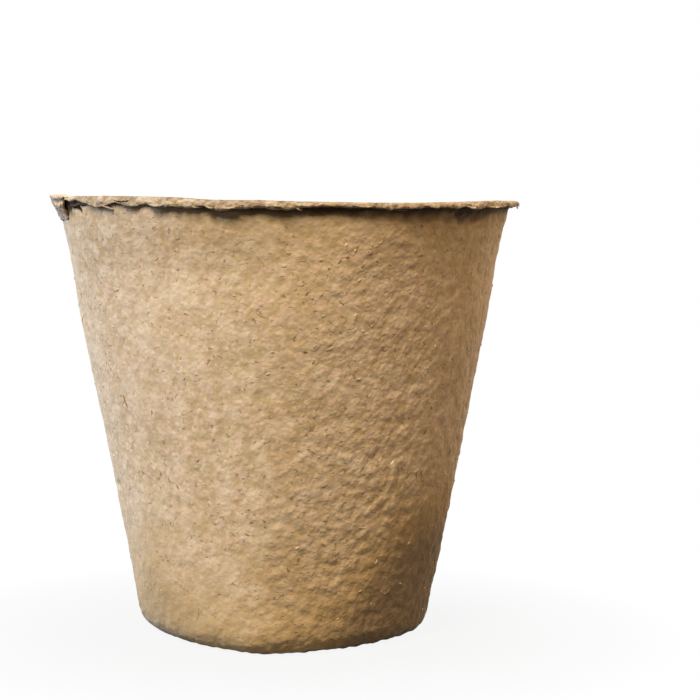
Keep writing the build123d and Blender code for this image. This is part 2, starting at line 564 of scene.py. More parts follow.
def make_tone():
    """Group for the colour of felted pulp: light on clumps and dark in hollows and pits (partly painted
    shade), with slow blotches, browner with painted shade and damp, and near black with painted shadow.
    """
    group, taken, given = shader_group(
        "pulp_tone",
        {
            "Place": "Vector",
            "Height": "Float",
            "Pits": "Float",
            "Hollow_and_shade": "Float",
            "Shade_and_damp": "Float",
            "Light": "Color",
            "Dark": "Color",
            "Fleck": "Color",
            "Shade": "Float",
        },
        {"Colour": "Color"},
    )
    taken = taken.outputs
    place = in_millimetres(group, taken["Place"])
    far_place = wired(group, "VectorMath", {0: place, 1: (37, -53, 91)}, "ADD")
    hollow_and_shade = calculate(group, "MULTIPLY", taken["Hollow_and_shade"], 1.2)
    factor = calculate(group, "ADD", ramp(group, taken["Height"], 0.2, 0.8), hollow_and_shade)
    factor = calculate(group, "ADD", factor, ramp(group, mottle(group, place, 16, 3), 0.3, 0.7, -0.1, 0.1))
    colour = blend(group, ramp(group, factor, 0, 1), taken["Dark"], taken["Light"])
    for size, detail, start, end, strength, tint, moved in blotches:
        cloud = mottle(group, far_place if moved else place, size, detail)
        colour = blend(group, ramp(group, cloud, start, end, 0, strength), colour, tint)
    # Dark flecks in the pits, partly painted shade; browner with painted shade at the foot and under the lip,
    # and with damp blotches; near black with painted shadow where the hollow is deepest.
    for factor, tint in (
        (calculate(group, "MULTIPLY", taken["Pits"], 0.4), taken["Fleck"]),
        (ramp(group, taken["Shade_and_damp"], 0, 0.5, 0, 0.88), shade_and_damp_brown),
        (ramp(group, taken["Shade_and_damp"], 0.4, 0.9, 0, 0.8), deep_shade_and_damp_brown),
        (ramp(group, taken["Hollow_and_shade"], -0.3, -0.75, 0, 0.95), painted_shadow_brown),
    ):
        colour = blend(group, factor, colour, tint)
    shaded = wired(group, "VectorMath", {0: colour, "Scale": taken["Shade"]}, "SCALE")
    set_inputs(group, given, {"Colour": shaded})
    return group


grain_group = make_grain()
tone_group = make_tone()


def rough_material(name, roughness):
    """A rough material, its node tree, its shader, and the place on the piece as a socket."""
    material = bpy.data.materials.new(name)
    material.use_nodes = True
    tree = material.node_tree
    shader = tree.nodes["Principled BSDF"]
    set_inputs(tree, shader, {"Roughness": roughness, "Specular IOR Level": 0.25})
    return material, tree, shader, tree.nodes.new("ShaderNodeTexCoord").outputs["Object"]


def kept_number(tree, name):
    """The numbers kept under a name in a piece, as a socket."""
    node = tree.nodes.new("ShaderNodeAttribute")
    node.attribute_name = name
    return node.outputs["Fac"]


def placed_group(tree, group, inputs):
    """A group set in a material with its inputs given, as its outputs."""
    node = tree.nodes.new("ShaderNodeGroup")
    node.node_tree = group
    set_inputs(tree, node, inputs)
    return node.outputs


def finish_surface(tree, shader, colour, height, depth):
    """Leads a colour and a height into the shader. Depth is how deep the height goes, in metres."""
    bump = wired(tree, "Bump", {"Distance": depth, "Height": height})
    set_inputs(tree, shader, {"Base Color": colour, "Normal": bump})


def pulp_material(name, light, dark, threads, roughness, grain_depth, shade=1):
    """One pulp finish: matt, with a little fuzz. Threads is how stringy it is, and shade darkens it."""
    material, tree, shader, place = rough_material(name, roughness)
    set_inputs(tree, shader, {"Sheen Weight": 0.15, "Sheen Roughness": 0.6})
    coarse = kept_number(tree, "coarse")
    grain = placed_group(tree, grain_group, {"Place": place, "Threads": threads, "Coarse": coarse})
    tone = placed_group(
        tree,
        tone_group,
        {
            "Place": place,
            "Height": grain["Height"],
            "Pits": grain["Pits"],
            "Hollow_and_shade": kept_number(tree, "hollow_and_shade"),
            "Shade_and_damp": kept_number(tree, "shade_and_damp"),
            "Light": light,
            "Dark": dark,
            "Fleck": bark_brown,
            "Shade": shade,
        },
    )
    finish_surface(tree, shader, tone["Colour"], grain["Relief"], grain_depth)
    return material


def dress(piece, material, node):
    """Gives a finished piece its material and its body, shades it smooth, and hides the part that it stands
    for.
    """
    piece.data.materials.clear()
    piece.data.materials.append(material)
    pick(piece)
    bpy.ops.object.shade_smooth_by_angle(angle=math.radians(60))
    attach(piece, "root")
    if node:
        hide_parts(node)


pulp_light = (0.69, 0.53, 0.385)
pulp_dark = (0.46, 0.33, 0.2)
wall_grain = 0.165 * mm
wall_threads = 0.1
wall_pulp = pulp_material("wall_pulp", pulp_light, pulp_dark, wall_threads, 0.9, wall_grain)
dress(side_wall, wall_pulp, "side_wall")


# Collar
# The round band between the shoulder and the lip, of the same sheet of pulp. It ends under the lip, which
# warped as it dried: high at the left, low at the right and at the back.
lip_fold = 1.25 * mm
# The lip's edge: degrees from the front to the right, then its top, its thickness, how far it is undercut and
# how far it falls short of its full reach, in millimetres. The last row is the first one again.
lip_points = (
    (-90, 74.85, 1.3, 0.0, 0.0),
    (-72, 74.85, 0.7, 0.2, 0.3),
    (-66, 74.8, 0.55, 0.2, 0.2),
    (-61, 74.85, 0.7, 0.2, 0.5),
    (-57, 74.85, 1.4, 0.3, 1.0),
    (-48, 74.9, 1.8, 0.3, 1.1),
    (-44, 74.9, 1.5, 0.4, 0.9),
    (-38, 74.85, 1.6, 0.4, 0.7),
    (-35.5, 74.85, 1.3, 0.5, 0.7),
    (-32, 74.8, 1.6, 0.5, 0.6),
    (-26.5, 74.75, 1.45, 0.6, 0.5),
    (-22, 74.6, 1.75, 0.6, 0.4),
    (-20, 74.45, 1.35, 0.7, 0.4),
    (-14.5, 74.35, 1.75, 0.9, 0.2),
    (-11.5, 74.35, 1.4, 1.0, 0.3),
    (-7, 74.33, 1.35, 0.9, 0.4),
    (1.5, 74.2, 1.4, 0.8, 0.35),
    (5.5, 74.0, 1.1, 0.9, 0.2),
    (11, 73.95, 0.75, 0.8, 0.25),
    (16, 73.9, 0.95, 0.7, 0.1),
    (25, 73.9, 1.15, 0.6, 0.1),
    (33, 73.85, 0.9, 0.4, 0.0),
    (42, 73.95, 0.9, 0.3, 0.0),
    (47, 74.0, 1.0, 0.3, 0.0),
    (49, 74.0, 1.2, 0.5, 0.0),
    (57, 74.05, 1.2, 0.4, 0.0),
    (61, 74.1, 1.15, 0.2, 0.0),
    (76, 74.0, 1.0, 0.3, -0.2),
    (88, 73.9, 0.95, 0.4, -0.2),
    (120, 73.5, 1.2, 0.4, 0.1),
    (150, 73.4, 0.9, 0.6, 0.2),
    (180, 73.6, 1.3, 0.5, 0.0),
    (215, 74.0, 0.9, 0.6, 0.2),
    (245, 74.5, 1.4, 0.3, 0.1),
    (270, 74.85, 1.3, 0.0, 0.0),
)


def read_row(rows, at, soft=False):
    """What a table of places says between two of its rows, straight or softly from one to the next."""
    for (start, *first), (end, *second) in zip(rows, rows[1:]):
        if start <= at <= end:
            share = (at - start) / (end - start)
            if soft:
                share = share * share * (3 - 2 * share)
            return [low + (high - low) * share for low, high in zip(first, second)]


def lip_at(azimuth):
    """Top, thickness, undercut and shortfall of the lip's edge at an angle from the front to the right."""
    degrees = (math.degrees(azimuth) + 90) % 360 - 90
    return [number * mm for number in read_row(lip_points, degrees, soft=True)]


collar_rows = 6
seat_plane = rim_plane - lip_fold
collar_height = seat_plane - shoulder_top
collar_rings = sheet_rings(shoulder_top, seat_plane, collar_rows, collar_rows)
collar = zone_skin("collar_pulp", collar_rings)
for vertex in collar.data.vertices:
    share = (vertex.co.z - shoulder_top) / collar_height
    rise = (lip_at(azimuth_of(vertex.co))[0] - rim_plane) * share
    radius = math.hypot(vertex.co.x, vertex.co.y)
    vertex.co *= (radius + rise * taper) / radius
    vertex.co.z = shoulder_top + share * collar_height + rise
felt(collar, (0, collar_rows, collar_rows + 1, len(collar_rings) - 1))
# Painted shadow under the lip, darkening the top of the collar: degrees from the front to the right, how far
# down in millimetres, how dark.
under_lip_painted_shadow = (
    (-180, 0.4, 0.6),
    (-36, 0.4, 0.6),
    (-22, 0.75, 0.62),
    (5, 0.9, 0.62),
    (18, 1.4, 0.65),
    (26, 2.4, 0.75),
    (56, 2.8, 0.75),
    (68, 0.6, 0.5),
    (180, 0.4, 0.5),
)
hollows_and_shade = kept(collar, "hollow_and_shade")
for index, vertex in enumerate(collar.data.vertices):
    azimuth = azimuth_of(vertex.co)
    below = max(lip_at(azimuth)[0] - lip_fold - vertex.co.z, 0) / mm
    reach, shade = read_row(under_lip_painted_shadow, math.degrees(azimuth))
    hollows_and_shade[index] -= shade * math.exp(-((below / reach) ** 3))
keep(collar, "hollow_and_shade", hollows_and_shade)
dress(collar, wall_pulp, "collar")


# Heel
# The rounded foot of the moulding and the flat ring that it stands on, of the same pulp as the wall. The wet
# sheet was drawn a little thinner round the bend than it is in the wall.
heel_radius = 4.6 * mm
panel_radius = 17.4 * mm
floor_thickness = 1.8 * mm
bend_thickness = 1.6 * mm
wall_angle = math.atan(taper)
arc_steps = 6


def bend_rings(radius, centre_height, centre_corner, out):
    """Rings round a bend between the wall and the floor, from the wall down, on the outside or the inside."""
    rings = []
    for step in range(arc_steps + 1):
        angle = wall_angle + (math.pi / 2 - wall_angle) * step / arc_steps
        height = centre_height - radius * math.sin(angle)
        inset = corner_radius(height) - centre_corner - radius * math.cos(angle)
        rings.append(outside_ring(height, inset, out * math.cos(angle), -out * math.sin(angle)))
    return rings


slope = math.hypot(1, taper)
heel_rings = [outside_ring(heel_top), outside_ring((heel_top + heel_radius) / 2)]
heel_rings += bend_rings(heel_radius, heel_radius, foot_corner + heel_radius * (taper - slope), 1)
foot_seam = len(heel_rings)
heel_rings.append((0, panel_radius, foot_side_share, 0, 0, -1))
heel_rings.append((floor_thickness, panel_radius, foot_side_share, 0, 0, 1))
inner_bend = heel_radius - bend_thickness
inner_height = floor_thickness + inner_bend
inner_corner = corner_radius(inner_height) - pulp_thickness - inner_bend * slope
heel_rings += bend_rings(inner_bend, inner_height, inner_corner, -1)[::-1]
heel_rings.append(outside_ring(heel_top, pulp_thickness, -1))
heel = zone_skin("heel_pulp", heel_rings)
felt(heel, (0, foot_seam, foot_seam + 1, len(heel_rings) - 1))
base_pulp = pulp_material("base_pulp", pulp_light, pulp_dark, wall_threads, 0.92, wall_grain)
dress(heel, base_pulp, "foot_heel")


# Floor panel
# The floor of the pot, of the same pulp, pushed up in the middle so that the pot stands on its ring. It has
# one punched drain hole whose edge is torn.
push_up = 1.2 * mm
drain_radius = 4 * mm
hole_edge = drain_radius + 0.35 * mm
edge_drop = 0.05 * mm
edge_depth = 0.3 * mm
edge_slant = 0.7
tear_reach = 1.6 * mm
tear_layers = ((0.32, 2.2), (0.2, 0.8))
panel_top = floor_thickness + push_up
# The floor from the heel inwards: radius at a ridge in millimetres, share of the push, and side share.
panel_steps = (
    (17.4, 0.0, 0.912),
    (16.9, 0.12, 0.914),
    (16.4, 0.5, 0.918),
    (15.9, 0.88, 0.922),
    (15.3, 1.0, 0.928),
    (12.5, 1.0, 0.945),
    (9.5, 1.0, 0.965),
    (6.8, 1.0, 0.985),
    (5.0, 1.0, 1.0),
)
panel_rings = [
    (floor_thickness + push_up * lift, reach * mm, share, 0, 0, 1) for reach, lift, share in panel_steps
]
panel_rings += [
    (panel_top - edge_drop, hole_edge, 1, 0, 0, 1),
    (panel_top - edge_depth, drain_radius, 1, 0, -edge_slant, edge_slant),
    (push_up + edge_depth, drain_radius, 1, 0, -edge_slant, -edge_slant),
    (push_up + edge_drop, hole_edge, 1, 0, 0, -1),
]
panel_rings += [(push_up * lift, reach * mm, share, 0, 0, -1) for reach, lift, share in panel_steps[::-1]]
floor_panel = zone_skin("floor_panel_pulp", panel_rings)
felt(floor_panel, (0, len(panel_rings) - 1))
for vertex in floor_panel.data.vertices:
    reach = math.hypot(vertex.co.x, vertex.co.y)
    if reach < drain_radius + tear_reach:
        share = 1 - max(reach - drain_radius, 0) / tear_reach
        vertex.co.xy *= 1 + share * uneven(vertex.co / mm, tear_layers) * mm / reach
dress(floor_panel, base_pulp, "floor_panel")


# Rim lip
# The sheet turned outwards over the top of the collar and torn off, so that its edge is ragged, of uneven
# thickness and fluffy with loose fibre.
lip_columns = 280
lip_reach = 39.7 * mm
rim_round = 40
lip_bend = 0.75 * mm
lip_sink = 0.12 * mm
lip_overlap = 0.02 * mm
thinnest_lip = 0.45 * mm
edge_layers = ((0.32, 9), (0.22, 2.6), (0.16, 1.1))
wave_layers = ((0.3, 5.1),)
jag_height = 0.4
jag_size = 2.3
jag_shift = Vector((0, 0, 17))
# Where it is drawn back for the flap, where its end at the right is smooth, and the arch beside the flap.
flap_middle = math.radians(-86)
flap_half = math.radians(15)
flap_draw = 1.0 * mm
smooth_azimuth = math.radians(83)
smooth_half = math.radians(12)
smooth_share = 0.8
tunnel_azimuth = math.radians(-65.5)
tunnel_half = math.radians(3.6)
tunnel_depth = 1.15 * mm
# How ragged each ring is and how dark it is painted, up the inside, over the top, round the edge and back
# below: painted shade on the lit top and painted shadow on the neck under the edge.
lip_raggedness = (0, 0, 0, 0, 0.1, 0.3, 0.8, 1, 1, 1, 0.8, 0.4, 0.1, 0)
lip_painted_shade = (0, 0, 0.3, 0.5, 0.6, 0.65, 0.6, 0.3, 0, 0, 0.3, 0.9, 1, 1)
painted_shade_strength = 0.75
lump_share = 0.5
lump_lift = 0.3
tuft_layers = ((0.17, 1.1), (0.13, 0.55))
tuft_lift = 0.13
tuft_size = 0.8
tuft_shift = Vector((7, 0, 0))


def level_way(azimuth):
    """The level way outwards at an angle from the front to the right."""
    return Vector((math.sin(azimuth), -math.cos(azimuth), 0))


def edge_reach(azimuth):
    """Radius of the ragged edge, drawn back to the wall where the flap is torn from it."""
    drawn = max(1 - abs((azimuth - flap_middle) / flap_half) ** 3, 0)
    return lip_reach + uneven(level_way(azimuth) * rim_round, edge_layers) * mm - flap_draw * drawn


def lip_place(ring, azimuth):
    """Where a corner of the lip's cage lies: up the inside, over the top, round the edge and back below."""
    top, thickness, undercut, shortfall = lip_at(azimuth)
    around = level_way(azimuth) * rim_round
    jags = jag_height * noise.noise(around / jag_size + jag_shift) + uneven(around, wave_layers)
    thickness = max(thickness + jags * mm, thinnest_lip)
    low = top - thickness
    seat = top - lip_fold - lip_sink
    tunnel = tunnel_depth * math.exp(-(((azimuth - tunnel_azimuth) / tunnel_half) ** 2))
    outer = corner_radius(seat) + lip_overlap - tunnel
    inner = corner_radius(seat) - pulp_thickness - lip_overlap
    reach = max(edge_reach(azimuth) - shortfall, outer + tunnel + 0.25 * mm)
    roof = min(max(low + 0.25 * mm, seat + 0.2 * mm), top - 0.35 * mm)
    radius, height = (
        (inner, seat),
        (inner + 0.05 * mm, top - lip_bend),
        (inner + 0.25 * mm, top - 0.2 * mm),
        (inner + lip_bend, top - 0.02 * mm),
        ((inner + reach) / 2, top - 0.06 * mm),
        (reach - 0.7 * mm, top - 0.02 * mm),
        (reach - 0.35 * mm, top - 0.03 * mm),
        (reach - 0.12 * mm, top - 0.2 * thickness),
        (reach, top - 0.5 * thickness),
        (reach - 0.2 * undercut, top - 0.88 * thickness),
        (max(reach - undercut - 0.12 * mm, outer + 0.3 * mm), low),
        (max(reach - undercut - 0.45 * mm, outer + 0.1 * mm), roof),
        (outer + 0.1 * mm, roof),
        (outer, seat),
    )[ring]
    return radius * math.sin(azimuth), -radius * math.cos(azimuth), height


def fray(piece):
    """Frays the torn part of a piece: fine lumps and tufts, within the lip's full reach."""
    hollows_and_shade = []
    for vertex, share, painted_shade in zip(piece.data.vertices, kept(piece, "ragged"), kept(piece, "painted_shade")):
        spot = vertex.co / mm
        tufts = uneven(spot, tuft_layers)
        lumps = lump_share * relief(vertex.co)
        # Lumps and tufts darken the colour in their hollows, partly painted shade, and the kept painted shade
        # darkens it further.
        hollows_and_shade.append(lumps + share * tufts - painted_shade_strength * painted_shade)
        shift = Vector((vertex.co.x, vertex.co.y, 0)).normalized() * share * tufts
        lift = tuft_lift * noise.noise(spot / tuft_size + tuft_shift)
        shift.z = share * lift + lump_lift * (1 - share) * lumps
        vertex.co += shift * mm
        reach = math.hypot(vertex.co.x, vertex.co.y)
        if reach > cad_high.x:
            vertex.co.xy *= cad_high.x / reach
        vertex.co.z = min(vertex.co.z, cad_high.z)
    keep(piece, "hollow_and_shade", hollows_and_shade)
    keep(piece, "coarse", [1] * len(hollows_and_shade))


rim_lip = ring_skin("ragged_lip", lip_columns, len(lip_raggedness), lip_place)
calmness = []
for column in range(lip_columns):
    away = (math.tau * column / lip_columns - smooth_azimuth) / smooth_half
    calmness.append(1 - smooth_share * math.exp(-(away**2)))
keep(rim_lip, "ragged", [share * calm for share in lip_raggedness for calm in calmness])
keep(rim_lip, "painted_shade", [share for share in lip_painted_shade for _ in range(lip_columns)])
crease_rings(rim_lip, lip_columns, (0, len(lip_raggedness) - 1))
outward(rim_lip)
refine(rim_lip, 2)
fray(rim_lip)
# The lip's colours are darker than the wall's, and its shade of 0.8 darkens them further: painted shade on the
# lip, whose top catches more light.
lip_light = (0.6, 0.46, 0.34)
lip_dark = (0.3, 0.22, 0.14)
lip_grain = 0.42 * mm
torn_threads = 1.4
torn_rough = 0.93
lip_pulp = pulp_material("lip_pulp", lip_light, lip_dark, torn_threads, torn_rough, lip_grain, shade=0.8)
dress(rim_lip, lip_pulp, "rim_lip")


# Torn flap
# A tongue of the lip at the left that tore while wet: its tip curls up, and below a fold its lower part hangs
# against the collar like a small curtain, hollow behind.
flap_across = 34
flap_down = 30
flap_thickness = 0.42 * mm
# Its left and right edge at the top and at the bottom, in degrees from the front to the right.
flap_left = -104
flap_left_low = -92
flap_right = -62.5
flap_right_low = -71.5
# Its section from the rim down: share of the way down, then radius and height in millimetres.
flap_profile = (
    (0.0, 37.9, 74.6),
    (0.1, 38.8, 74.85),
    (0.2, 39.55, 74.95),
    (0.27, 39.95, 74.95),
    (0.33, 39.9, 74.6),
    (0.45, 39.55, 74.0),
    (0.55, 39.35, 73.4),
    (0.67, 39.0, 72.7),
    (0.8, 38.6, 71.95),
    (0.9, 38.3, 71.35),
    (1.0, 38.0, 70.75),
)
# The fold across its right half, the swelling below it, and how far its lower edge is tucked in.
fold_from = math.radians(-79)
fold_at = math.radians(-70)
fold_down = 0.46
fold_half = 0.07
fold_depth = 0.3
swell_from = 0.27
swell_to = 0.8
swell_depth = 0.3
tuck_depth = 0.35
# The torn left part of its lower edge, and the waves of the rest.
torn_from = math.radians(-88)
torn_over = math.radians(6)
torn_height = 0.9
notch_waves = ((0.8, 23, 1), (0.5, 51, 0))
edge_waver = math.radians(1.6)
wave_height = 0.25
ruffle_height = 0.5
crumple_height = 0.12
crumple_down = 0.3

bpy.ops.mesh.primitive_grid_add(x_subdivisions=flap_across, y_subdivisions=flap_down, size=1)
flap = bpy.context.object
flap.name = flap.data.name = "torn_flap"
for vertex in flap.data.vertices:
    across = vertex.co.x + 0.5
    down = 0.5 - vertex.co.y
    left = flap_left + (flap_left_low - flap_left) * down**2
    right = flap_right + (flap_right_low - flap_right) * down
    azimuth = math.radians(left + (right - left) * across)
    azimuth += edge_waver * noise.noise(Vector((down * 7, across * 2, 3)))
    radius, height = read_row(flap_profile, down)
    folded = progress(azimuth, fold_from, fold_at)
    radius -= fold_depth * folded * math.exp(-(((down - fold_down) / fold_half) ** 2))
    radius += swell_depth * folded * math.sin(math.pi * progress(down, swell_from, swell_to))
    radius -= tuck_depth * folded * down**2
    torn = progress(torn_from - azimuth, 0, torn_over) * down**2
    notches = sum(depth * math.sin(azimuth * count + start) for depth, count, start in notch_waves)
    height += torn * (torn_height - notches)
    height += wave_height * math.sin(azimuth * 21) * down * (1 - down)
    height += ruffle_height * down**3 * noise.noise(Vector((azimuth * 36, 2, 5)))
    if down < crumple_down:
        height += crumple_height * noise.noise(Vector((azimuth * 30, down * 4, 9)))
    vertex.co = (radius * mm * math.sin(azimuth), -radius * mm * math.cos(azimuth), height * mm)


def thicken(piece, thickness, side):
    """Gives a thin sheet its thickness, on one side of it or about its middle."""
    bpy.context.view_layer.objects.active = piece
    sheet = piece.modifiers.new("sheet", "SOLIDIFY")
    sheet.thickness = thickness
    sheet.offset = side
    bpy.ops.object.modifier_apply(modifier=sheet.name)


def fray_evenly(piece, ragged, painted_shade):
    """Closes and refines a scrap of the lip, and frays it as ragged all over, with the same painted shade all
    over.
    """
    outward(piece)
    refine(piece, 1)
    keep(piece, "ragged", [ragged] * len(piece.data.vertices))
    keep(piece, "painted_shade", [painted_shade] * len(piece.data.vertices))
    fray(piece)


thicken(flap, flap_thickness, -1)
# A negative painted shade: the flap is painted lighter, as painted light.
fray_evenly(flap, 0.7, -0.25)
flap_light = (0.68, 0.47, 0.3)
flap_dark = (0.42, 0.26, 0.15)
flap_grain = 0.35 * mm
flap_pulp = pulp_material("flap_pulp", flap_light, flap_dark, torn_threads, torn_rough, flap_grain)
dress(flap, flap_pulp, "torn_lip_flap")


# Bark slivers
# Splinters of dark bark that went through the pulper whole. They lie nearly flat, half sunk in the skin,
# where the photograph shows them, and strewn over all sides and over the inside.
strand_sides = 5
strand_rings = 6
strand_ends = 0.6
strand_sink = 0.3
strand_taper = 0.7
length_spread = 1.2

skin_points, skin_faces = [], []
for piece in (side_wall, collar, heel, floor_panel, rim_lip, flap):
    passed = len(skin_points)
    skin_points += [vertex.co.copy() for vertex in piece.data.vertices]
    skin_faces += [[passed + corner for corner in face.vertices] for face in piece.data.polygons]
skin = BVHTree.FromPolygons(skin_points, skin_faces)

bpy.ops.object.select_all(action="DESELECT")
bpy.ops.mesh.primitive_circle_add(vertices=strand_sides, radius=1, fill_type="NGON")
strand_model = bpy.context.object
bpy.ops.object.mode_set(mode="EDIT")
for _ in range(strand_rings - 1):
    bpy.ops.mesh.extrude_region_move(TRANSFORM_OT_translate={"value": (0, 0, 1)})
bpy.ops.object.mode_set(mode="OBJECT")
outward(strand_model)


def copy_of(model):
    """A copy of a model, with its own mesh."""
    piece = model.copy()
    piece.data = model.data.copy()
    bpy.context.collection.objects.link(piece)
    return piece


def lay_strand(start, way, length, width, height, curl, shade):
    """A copy of the strand laid over the skin both ways from a spot on it, thick in the middle, half sunk."""
    stations = {}
    middle = (strand_rings - 1) / 2
    for side in (-1, 1):
        spot, normal, _, _ = skin.find_nearest(start)
        ahead = way * side
        for step in range(1, strand_rings // 2 + 1):
            ahead = (ahead - normal * ahead.dot(normal)).normalized()
            ahead = (ahead + normal.cross(ahead) * curl * side).normalized()
            stride = length / (strand_rings - 1) * (0.5 if step == 1 else 1)
            spot, normal, _, _ = skin.find_nearest(spot + ahead * stride)
            stations[round(middle + side * (step - 0.5))] = (spot, normal, ahead * side)
    strand = copy_of(strand_model)
    keep(strand, "shade", [shade] * len(strand.data.vertices))
    for vertex in strand.data.vertices:
        ring = round(vertex.co.z)
        spot, normal, ahead = stations[ring]
        along = (ring + strand_ends) / (strand_rings - 1 + 2 * strand_ends)
        swell = math.sin(math.pi * along) ** strand_taper
        across = ahead.cross(normal).normalized() * vertex.co.x * width * swell
        vertex.co = spot + across + normal * height * (vertex.co.y * swell + strand_sink)
    return strand


def skin_at_pixel(pixel_x, pixel_y, angle=0):
    """The skin's point at a pixel, the way that an angle in the picture points, and a pixel's size there."""
    start, look = pixel_ray(pixel_x, pixel_y)
    spot, _, _, far = skin.ray_cast(start, look)
    angle = math.radians(angle)
    way = camera.rotation_euler.to_matrix() @ Vector((math.cos(angle), math.sin(angle), 0))
    return spot, way, far / focal_pixels


def lay_seen(draw, rows, curl, shades, flatness, highest):
    """Strands where the photograph shows them, with their shades drawn."""
    strands = []
    for pixel_x, pixel_y, length, width, angle in rows:
        spot, way, pixel = skin_at_pixel(pixel_x, pixel_y, angle)
        height = min(width * flatness * pixel, highest)
        shade = draw.uniform(*shades)
        strands.append(lay_strand(spot, way, length * pixel, width / 2 * pixel, height, curl, shade))
    return strands


def strewn_spot(draw, low, high, from_azimuth, to_azimuth, inside):
    """A random point of the skin between two heights and two angles, outside or inside, and a random way."""
    out = level_way(math.radians(draw.uniform(from_azimuth, to_azimuth)))
    middle = Vector((0, 0, draw.uniform(low, high) * mm))
    start = middle if inside else middle + out * cad_high.x * 2
    spot, _, _, _ = skin.ray_cast(start, out if inside else -out)
    tilt = draw.uniform(-1, 1) * math.pi / 2
    up = Vector((0, 0, 1))
    return spot, up.cross(out) * math.cos(tilt) + up * math.sin(tilt)


def strew(draw, batches, widths, curl, shades, flatness, highest):
    """Batches of strands strewn at random, most of them short."""
    strands = []
    for count, low, high, from_azimuth, to_azimuth, inside, shortest, longest in batches:
        for _ in range(count):
            spot, way = strewn_spot(draw, low, high, from_azimuth, to_azimuth, inside)
            length = draw.uniform(shortest, longest) ** length_spread * mm
            width = length * draw.uniform(*widths)
            bend = draw.uniform(-curl, curl)
            shade = draw.uniform(*shades)
            strands.append(lay_strand(spot, way, length, width, min(width * flatness, highest), bend, shade))
    return strands


def joined(parts, name):
    """Parts joined to one piece, closed outwards."""
    pick(*parts)
    bpy.ops.object.join()
    piece = bpy.context.object
    piece.name = piece.data.name = name
    outward(piece)
    return piece


def strand_material(name, dark, light, roughness):
    """Bark or straw: two tones mixed by the shade of each strand and by streaks, rough."""
    material, tree, shader, place = rough_material(name, roughness)
    streaks = mottle(tree, in_millimetres(tree, place), 0.3, 1)
    factor = calculate(tree, "ADD", kept_number(tree, "shade"), ramp(tree, streaks, 0.3, 0.7, -0.25, 0.25))
    finish_surface(tree, shader, blend(tree, ramp(tree, factor, 0, 1), dark, light), streaks, 0.08 * mm)
    return material


# Each sliver: the pixel of its middle, its length and width in pixels, and its angle in the picture.
seen_slivers = (
    (125, 401, 13, 3.2, -65),
    (152, 413, 6, 1.6, 65),
    (143, 472.5, 5, 2.2, -15),
    (161, 474, 4.5, 1.8, 70),
    (169, 480, 6, 2, -60),
    (177.5, 487, 5, 2, -50),
    (198, 461, 5, 1.8, 30),
    (286, 227, 4, 1.8, -45),
    (305, 261, 4.5, 1.8, 30),
    (321, 261, 3.2, 2.2, 30),
    (340, 262, 5.5, 2, 50),
    (348, 257.5, 3.6, 3.2, 20),
    (307, 294, 4.5, 2, 45),
    (296, 290, 4.5, 1.8, 45),
    (363, 266, 4.5, 2.2, 50),
    (371, 254, 5, 2, 20),
    (260, 316, 10, 1.3, -25),
    (341, 303, 8, 1.4, -40),
    (305, 352, 4, 2.6, -20),
    (396, 416, 4, 1.8, 40),
    (431, 408, 4, 2, -50),
    (425, 432, 5.5, 2, 50),
    (450, 452, 4.5, 2.2, 90),
    (451, 443, 3, 1.8, 90),
    (421, 474, 6, 2, -60),
    (374, 456, 8, 1.8, 50),
    (288, 570, 5, 2.2, -50),
    (323, 545, 5, 2, -25),
    (337, 554, 5.5, 2, 40),
    (336, 593, 4, 1.8, 60),
    (298, 560, 5, 1.8, 75),
    (302, 550, 5.5, 1.8, 20),
    (247, 535, 5, 1.8, -25),
    (110, 360, 3, 1.6, 40),
    (152, 324, 3, 1.6, -30),
    (422, 226, 4, 2.8, -15),
    (367, 396, 3.4, 1.8, 60),
    (327, 435, 3.4, 1.8, 30),
    (231, 457, 3.2, 1.6, -20),
    (166, 556, 4, 1.8, -50),
    (168, 561, 3, 1.6, 10),
    (429, 548, 3.6, 1.8, 60),
    (452, 464, 3.6, 1.8, 80),
    (416, 475, 3.4, 1.8, -40),
)
# Each batch: how many, lowest and highest and from and to which angle, whether inside, shortest and longest.
strewn_slivers = (
    (75, 3, 72, -80, 80, False, 0.28, 0.6),
    (150, 3, 72, 85, 275, False, 0.4, 1.1),
    (130, 6, 72, 0, 360, True, 0.4, 1.1),
)
bark_dark = (0.27, 0.16, 0.085)
bark_light = (0.44, 0.3, 0.17)
sliver_draw = random.Random(11)
slivers = lay_seen(sliver_draw, seen_slivers, curl=0.1, shades=(0, 0.6), flatness=0.16, highest=0.1 * mm)
slivers += strew(
    sliver_draw, strewn_slivers, widths=(0.13, 0.3), curl=0.25, shades=(0, 1), flatness=0.6, highest=0.08 * mm
)
bark = strand_material("bark", bark_dark, bark_light, 0.85)
dress(joined(slivers, "bark_slivers"), bark, None)


# Straw beads and fibres
# Pale bits of straw and single long fibres that stand a little out of the skin and catch the light.
# Each one: the pixel of its middle, its length and width in pixels, and its angle in the picture.
seen_straw = (
    (297, 548, 4.5, 3, 20),
    (392, 463, 6, 3, 40),
    (421, 470, 3.2, 2.6, 0),
    (323, 316, 3.2, 2.8, 0),
    (355.5, 315, 4, 3, 30),
    (355, 330, 6, 2, 45),
    (363, 331, 4, 2, -30),
    (330, 349, 9, 2.4, 15),
    (334, 560, 13, 1.6, 15),
    (347, 522, 10, 1.4, -25),
    (362, 528, 9, 1.4, -10),
    (268, 374, 5, 3, 20),
    (284, 266, 5, 3, 30),
)
strewn_straw = (
    (90, 3, 72, -80, 80, False, 0.3, 0.8),
    (170, 3, 72, 85, 275, False, 0.3, 1.2),
    (130, 6, 72, 0, 360, True, 0.3, 1.2),
)
strewn_fibres = (
    (150, 2, 73, -85, 265, False, 1.2, 4),
    (60, 6, 73, 0, 360, True, 1.2, 4),
)
fibre_width = 0.045 * mm
straw_dark = (0.42, 0.29, 0.15)
straw_light = (0.8, 0.7, 0.52)
straw_draw = random.Random(23)
